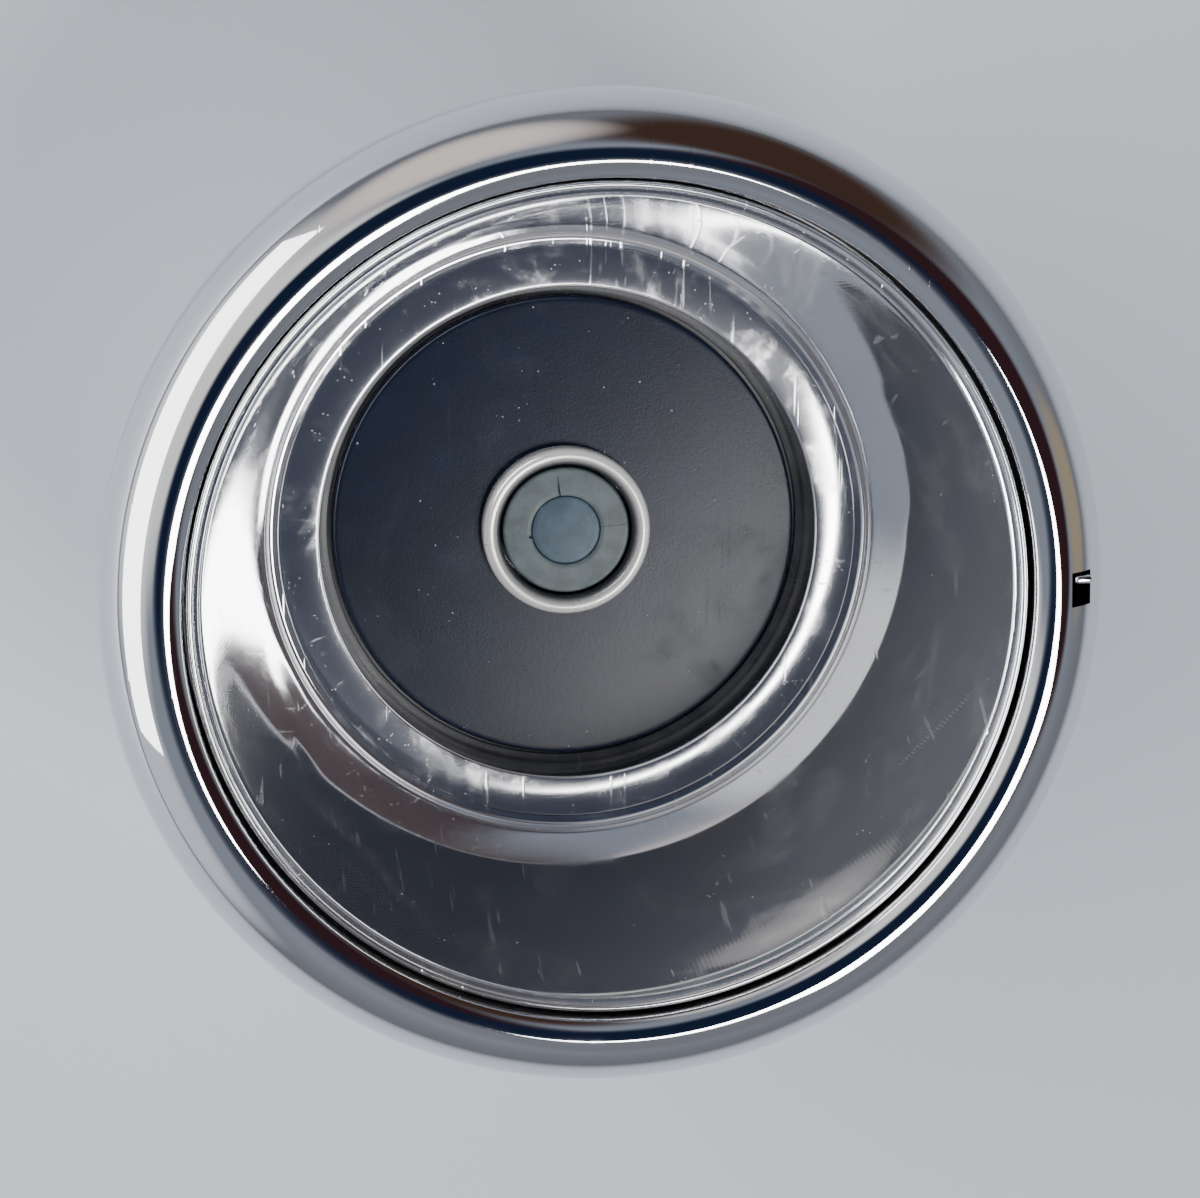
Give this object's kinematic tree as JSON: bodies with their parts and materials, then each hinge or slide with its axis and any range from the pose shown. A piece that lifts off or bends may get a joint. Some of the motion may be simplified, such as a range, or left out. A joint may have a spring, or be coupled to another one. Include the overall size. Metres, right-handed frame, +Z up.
{
  "type": "push-down spinning ashtray",
  "caption": "Round chrome bowl with a lift-out mirror dish and a sprung black floor plate that drops and turns when its centre button is pressed.",
  "frame": {"origin": "middle of the underside, on the surface it stands on", "axes": "+Z up along the axis of the bowl; +X towards the catch in the rim"},
  "size_m": [0.1026, 0.1026, 0.082],
  "materials": {
    "chrome": "polished",
    "mirror_chrome": "mirror polished",
    "hazy_chrome": "polished, hazy",
    "steel": "satin",
    "spring_steel": "satin",
    "brass": "satin",
    "black_paint": "satin",
    "bright_aluminium": "polished",
    "grey_plastic": "satin",
    "pin_plastic": "satin",
    "seal_rubber": "matte",
    "pad_rubber": "matte"
  },
  "bodies": {
    "bowl": {"outer_bowl": "chrome", "support_ring": "steel", "base_pad": "pad_rubber", "rim_gasket": "seal_rubber", "catch_guide": "steel"},
    "catch": {"catch_tab": "chrome"},
    "insert": {"dish_liner": "mirror_chrome", "seat_ring": "hazy_chrome", "bridge": "steel", "bridge_rivets": "steel", "twist_nut": "brass", "nut_screws": "steel", "return_spring": "spring_steel"},
    "button_body": {"button": "grey_plastic", "thrust_washer": "brass"},
    "spinner": {"floor_plate": "black_paint", "plate_seal": "seal_rubber", "hub_ring": "bright_aluminium", "plate_hub": "steel", "lock_washer": "steel", "hub_nut": "steel", "pivot_pin": "pin_plastic", "twist_rod": "steel"}
  },
  "joints": [
    {"name": "catch_slide", "type": "hinge", "parent": "bowl", "child": "catch", "pos_m": [0, 0, 0.074], "axis": [0, 0, 1], "range_deg": [-2.6, 0]},
    {"name": "dish_lift", "type": "slide", "parent": "bowl", "child": "insert", "axis": [0, 0, 1], "range_m": [0, 0.07]},
    {"name": "press", "type": "slide", "parent": "insert", "child": "button_body", "axis": [0, 0, -1], "range_m": [0, 0.009], "stiffness_N_per_m": 400, "springref_m": -0.003, "deforming": ["return_spring"]},
    {"name": "plate_spin", "type": "hinge", "parent": "button_body", "child": "spinner", "pos_m": [0, 0, 0.033], "axis": [0, 0, 1], "range_deg": [0, 135]}
  ],
  "couplings": [
    {"joint": "plate_spin", "follows": "press", "rad_per_m": 261.8}
  ]
}
